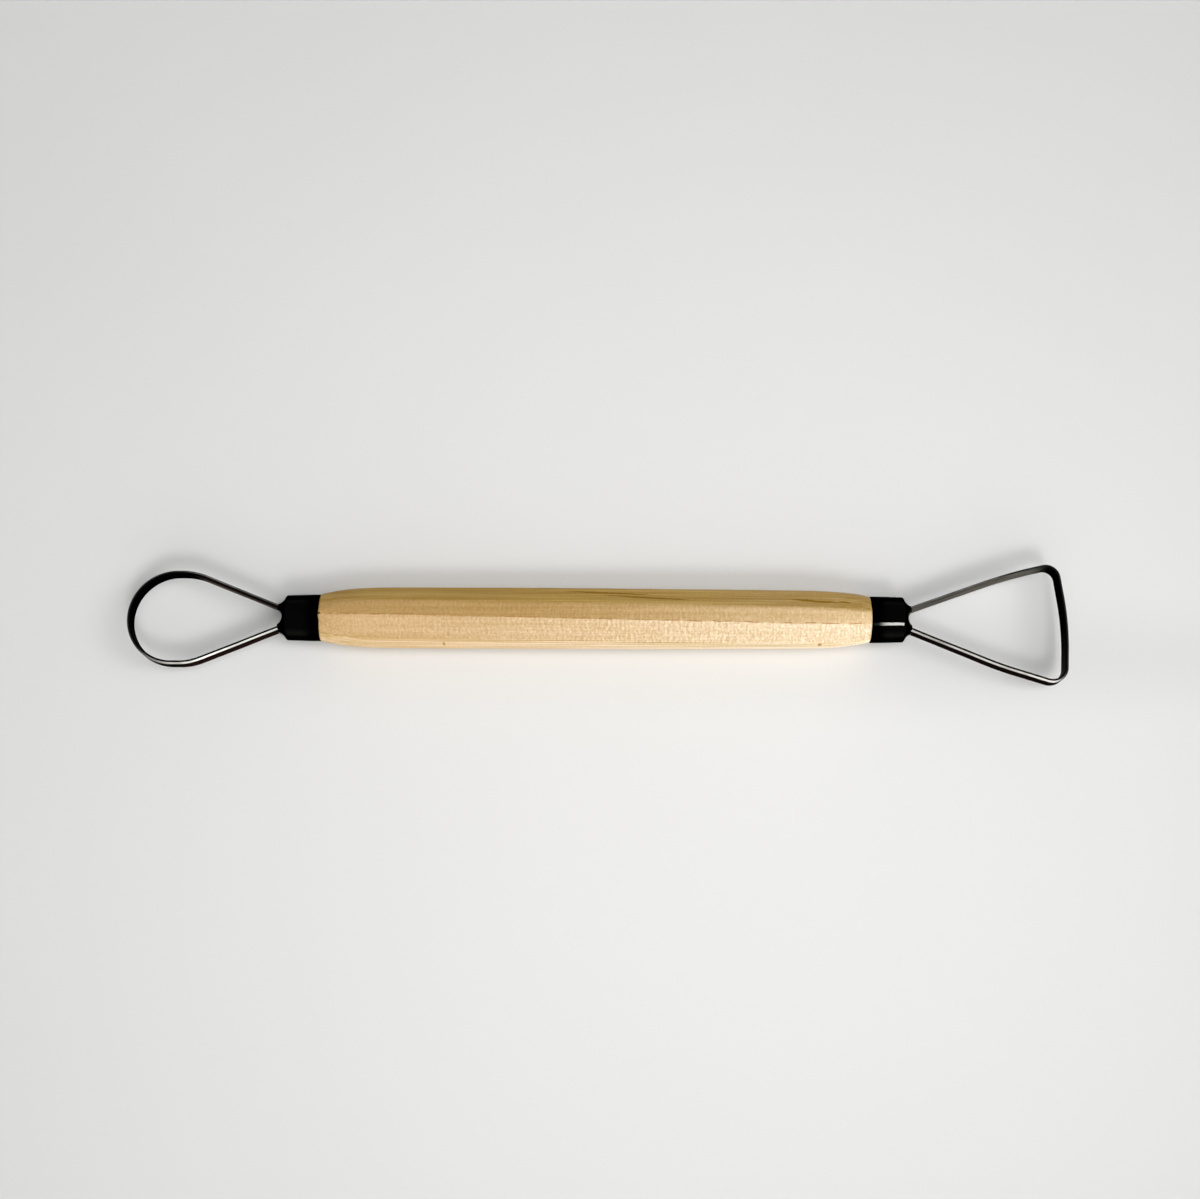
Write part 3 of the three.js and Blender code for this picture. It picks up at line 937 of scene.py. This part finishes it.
def scale_finish(name, dark, light, brown, rubbed):
    """Steel under its black heat-treatment scale, which clay has rubbed in places."""
    steel = Finish(name, Metallic=0.35, Specular_IOR_Level=0, Specular_Tint=(0.1, 0.1, 0.1, 1))
    x, y, z = steel.axes()
    ribbon = ribbon_place(steel)
    streaks = steel.noise((0.12, 5, 1), detail=3, roughness=0.65, vector=ribbon)
    patches = steel.noise((0.11, 0.35, 1), detail=3, vector=ribbon)
    rubbed = steel.spread(x, *LOOP_TO_LOOP, rubbed, rubbed * MORE_RUBBED)
    worn = steel.calc("ADD", steel.calc("ADD", streaks, patches), rubbed)
    colour = steel.mix(steel.spread(worn, *WEAR), dark, light)
    # Clay has rubbed the upper leg of the triangle on all its sides.
    upper_leg = steel.spread(x, *UPPER_LEG_START)
    upper_leg = steel.calc("MULTIPLY", upper_leg, steel.spread(y, *UPPER_LEG_SIDE))
    colour = steel.mix(upper_leg, colour, steel.mix(steel.spread(worn, *RUBBED_WEAR), *RUBBED_STEEL))
    tint = steel.noise((0.07, 0.2, 1), detail=2, vector=ribbon)
    tint = steel.spread(tint, 0.5, 0.72, 0.35, 0.8)
    tint = steel.calc("MULTIPLY", tint, steel.spread(x, *LOOP_TO_LOOP, 1, 0.3))
    colour = steel.mix(tint, colour, brown)
    # Black along the top of the round loop, and painted shade at the far ends of both loops.
    colour = steel.mix(black_top_and_shaded_ends(steel, x, y, z, streaks), colour, RIBBON_BLACK_AND_SHADE)
    steel.link(colour, "Base Color")
    steel.link(steel.spread(streaks, 0.3, 0.7, 0.34, 0.55), "Roughness")
    steel.bump(streaks, 0.006)
    return steel.material


SLEEVE_BLACKS = ((0.0065, 0.0065, 0.0065), (0.0095, 0.0095, 0.009))
# The olive rim at the web: the thin sleeve, partly a painted glint.
THIN_RIM_AND_GLINT = (0.075, 0.075, 0.04)
# How far a sleeve is darkened where it grips the wood and round the legs, as two places and the
# strength at each: painted shade that fades its highlight and reflections there.
SLEEVE_SHADE_BY_WOOD = (WOOD_END + 1.2, WOOD_END + 3.8, 0.98, 0)
SLEEVE_SHADE_BY_LEGS = (TENON_END + 0.5, TENON_END + 0.9, 0, 0.85)
RIM_FADE = (WEB_RADIUS + 0.15, WEB_RADIUS + 0.5)
RIM_START = (1.6, 2.4)  # above and below the axis


def sleeve_finish(name, web, middle, rim):
    """Glossy black, thinned to an olive rim of that strength at the edges between the legs, which is
    partly a painted glint, and darkened by painted shade by the wood and round the legs.
    """
    sleeve = Finish(name, Metallic=0.9, Specular_IOR_Level=0, Specular_Tint=(0.1, 0.1, 0.1, 1))
    cloud = sleeve.noise((0.5, 0.5, 0.5), detail=3)
    colour = sleeve.mix(cloud, *SLEEVE_BLACKS)
    reach = sleeve.calc("ABSOLUTE", sleeve.axes()[0])
    # Painted shade by the wood and round the legs, fading the highlight and reflections there.
    colour = sleeve.mix(sleeve.spread(reach, *SLEEVE_SHADE_BY_WOOD), colour, BLACK)
    colour = sleeve.mix(sleeve.spread(reach, *SLEEVE_SHADE_BY_LEGS), colour, BLACK)
    flat = sleeve.vector("MULTIPLY", sleeve.place, (1, 1, 0))
    off = sleeve.vector("DISTANCE", flat, (web, middle, 0), output="Value")
    # The olive rim at the web, the thin sleeve there and partly a painted glint.
    rim_and_glint = sleeve.spread(off, *RIM_FADE, rim, 0)
    off_axis = sleeve.calc("ABSOLUTE", sleeve.calc("SUBTRACT", sleeve.axes()[2], AXIS_HEIGHT))
    rim_and_glint = sleeve.calc("MULTIPLY", rim_and_glint, sleeve.spread(off_axis, *RIM_START))
    colour = sleeve.mix(rim_and_glint, colour, THIN_RIM_AND_GLINT)
    sleeve.link(colour, "Base Color")
    sleeve.bump(sleeve.noise((0.2, 0.9, 0.9), detail=2), 0.03)
    sleeve.link(sleeve.spread(cloud, 0.3, 0.7, 0.035, 0.07), "Roughness")
    return sleeve.material


GLUE_AMBERS = ((0.3, 0.17, 0.04), (0.5, 0.33, 0.12))


def glue_finish():
    glue = Finish("amber_glue", Roughness=0.3)
    cloud = glue.noise((0.4, 0.8, 0.8), detail=3)
    glue.link(glue.mix(cloud, *GLUE_AMBERS), "Base Color")
    glue.bump(glue.noise((1.2, 1.2, 1.2), detail=2), 0.05)
    return glue.material


# The table's colours, with a painted light falloff from its brightest place and painted shade in
# front of the wood.
TABLE_COLOURS = ((0.85, 0.849, 0.839), (0.61, 0.61, 0.603))
TABLE_BRIGHTEST = (44, -44, 0)
TABLE_FADE = 320
TABLE_MOTTLING = 16
TABLE_SHADE_CENTRE = (50, -7, 0)
TABLE_SHADE_REACH = (200, 17, 1)
TABLE_SHADE_BY_WOOD = 0.085


def floor_finish():
    """Pale, with a painted light falloff that darkens it far from its brightest place, and painted
    shade in front of the wood, against the light that comes off it.
    """
    floor = Finish("pale_table", Roughness=0.9, Specular_IOR_Level=0)
    away = floor.distance(TABLE_BRIGHTEST)
    mottled = floor.calc("MULTIPLY", floor.noise((0.02, 0.02, 0.02), detail=2), TABLE_MOTTLING)
    shade = floor.spread(floor.calc("ADD", away, mottled), 0, TABLE_FADE)
    colour = floor.mix(shade, *TABLE_COLOURS)
    near_wood = floor.distance(TABLE_SHADE_CENTRE, TABLE_SHADE_REACH)
    near_wood = floor.spread(near_wood, 0, 1, TABLE_SHADE_BY_WOOD, 0)
    floor.link(floor.mix(near_wood, colour, BLACK), "Base Color")
    return floor.material


# Surroundings.
FLOOR_GAP = 0.02  # keeps the table clear of the flat that the tool lies on
FLOOR_REACH = 5000
# Lamps as (name, degrees off straight up towards -Y, the same towards +X, strength, width in
# degrees). The soft ones light the colours, and the glint shows only in what is glossy.
SOFT_LAMPS = (
    ("overhead_near", 5, 3, 0.2, 26),
    ("overhead_middle", 5, 26, 0.2, 26),
    ("overhead_right", 5, 48, 0.2, 26),
    ("side_light", 60, 12, 0.3, 60),
    ("window", 35, 12, 0.26, 16),
)
GLINT = ("window_glint", 32, 14.4, 1.35, 14)
# Degrees above the horizon and how bright the surroundings are there.
SKY = ((3, 0.63), (8, 0.4), (10, 0.4), (25, 0.12))


def make_floor():
    signs = ((-1, -1), (1, -1), (1, 1), (-1, 1))
    height = -AXIS_HEIGHT - FLOOR_GAP
    points = [(x * FLOOR_REACH, y * FLOOR_REACH, height) for x, y in signs]
    floor = piece_from("table", points, [(0, 1, 2, 3)], materials=[floor_finish()])


def make_sun(name, from_up, from_right, strength, width, diffuse=True, glossy=True):
    """A sun seen from the tool that many degrees off straight up towards -Y and +X."""
    lamp = bpy.data.lights.new(name, "SUN")
    lamp.energy = strength * math.pi
    lamp.angle = math.radians(width)
    across, along = math.radians(from_up), math.radians(from_right)
    source = Vector((math.tan(along), -math.tan(across), 1))
    sun = bpy.data.objects.new(name, lamp)
    sun.rotation_euler = source.to_track_quat("Z", "Y").to_euler()
    sun.visible_diffuse = diffuse
    sun.visible_glossy = glossy
    bpy.context.scene.collection.objects.link(sun)


def make_sky():
    """A dim ceiling over pale walls, as bright at their foot as the far end of the table."""
    world = bpy.data.worlds.new("studio")
    world.use_nodes = True
    tree = world.node_tree
    direction = tree.nodes.new("ShaderNodeTexCoord")
    split = tree.nodes.new("ShaderNodeSeparateXYZ")
    tree.links.new(direction.outputs["Generated"], split.inputs[0])
    ramp = tree.nodes.new("ShaderNodeValToRGB")
    tree.links.new(split.outputs["Z"], ramp.inputs[0])
    stops = ramp.color_ramp.elements
    while len(stops) < len(SKY):
        stops.new(1)
    for stop, (above, brightness) in zip(stops, SKY):
        stop.position = math.sin(math.radians(above))
        stop.color = (brightness, brightness, brightness, 1)
    sky = tree.nodes["Background"]
    tree.links.new(ramp.outputs["Color"], sky.inputs["Color"])
    sky.inputs["Strength"].default_value = 1
    bpy.context.scene.world = world


def make_camera():
    lens = bpy.data.cameras.new("camera")
    lens.lens = CAMERA_LENS
    lens.sensor_width = CAMERA_SENSOR
    camera = bpy.data.objects.new("camera", lens)
    lean = Matrix.Rotation(math.radians(CAMERA_LEAN), 4, "X")
    roll = Matrix.Rotation(math.radians(CAMERA_ROLL), 4, "Z")
    back = lean @ Vector((0, 0, CAMERA_DISTANCE))
    place = Matrix.Translation((Vector(CAMERA_TARGET) + back) * MM)
    camera.matrix_world = place @ lean @ roll
    bpy.context.scene.collection.objects.link(camera)
    bpy.context.scene.camera = camera


def seat(piece, slot, *nodes):
    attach(piece, "root")
    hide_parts(*nodes)


seat(make_handle(wood_finish()), "wood", "handle")
inside = scale_finish("ribbon_inside", **INSIDE_SCALE)
outside = scale_finish("ribbon_outside", **OUTSIDE_SCALE)
steels = [inside, outside, ground_finish()]
for end, corners, side, sleeve in (
    ("round", ROUND_LOOP, -1, ROUND_SLEEVE),
    ("triangle", TRIANGLE_LOOP, 1, TRIANGLE_SLEEVE),
):
    seat(make_blade(f"{end}_ribbon", corners, side, steels), "ribbon_steel", f"{end}_blade")
    cover = make_sleeve(f"{end}_shrunk_sleeve", corners, side, **sleeve)
    seat(cover, "black_sleeve", f"{end}_end_sleeve")
amber = glue_finish()
for name in ("round_end_glue", "triangle_end_glue"):
    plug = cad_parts[name]
    plug.data.materials.clear()
    plug.data.materials.append(amber)

make_floor()
for lamp in SOFT_LAMPS:
    make_sun(*lamp, glossy=False)
make_sun(*GLINT, diffuse=False)
make_sky()
make_camera()
bpy.context.scene.view_settings.view_transform = "Standard"
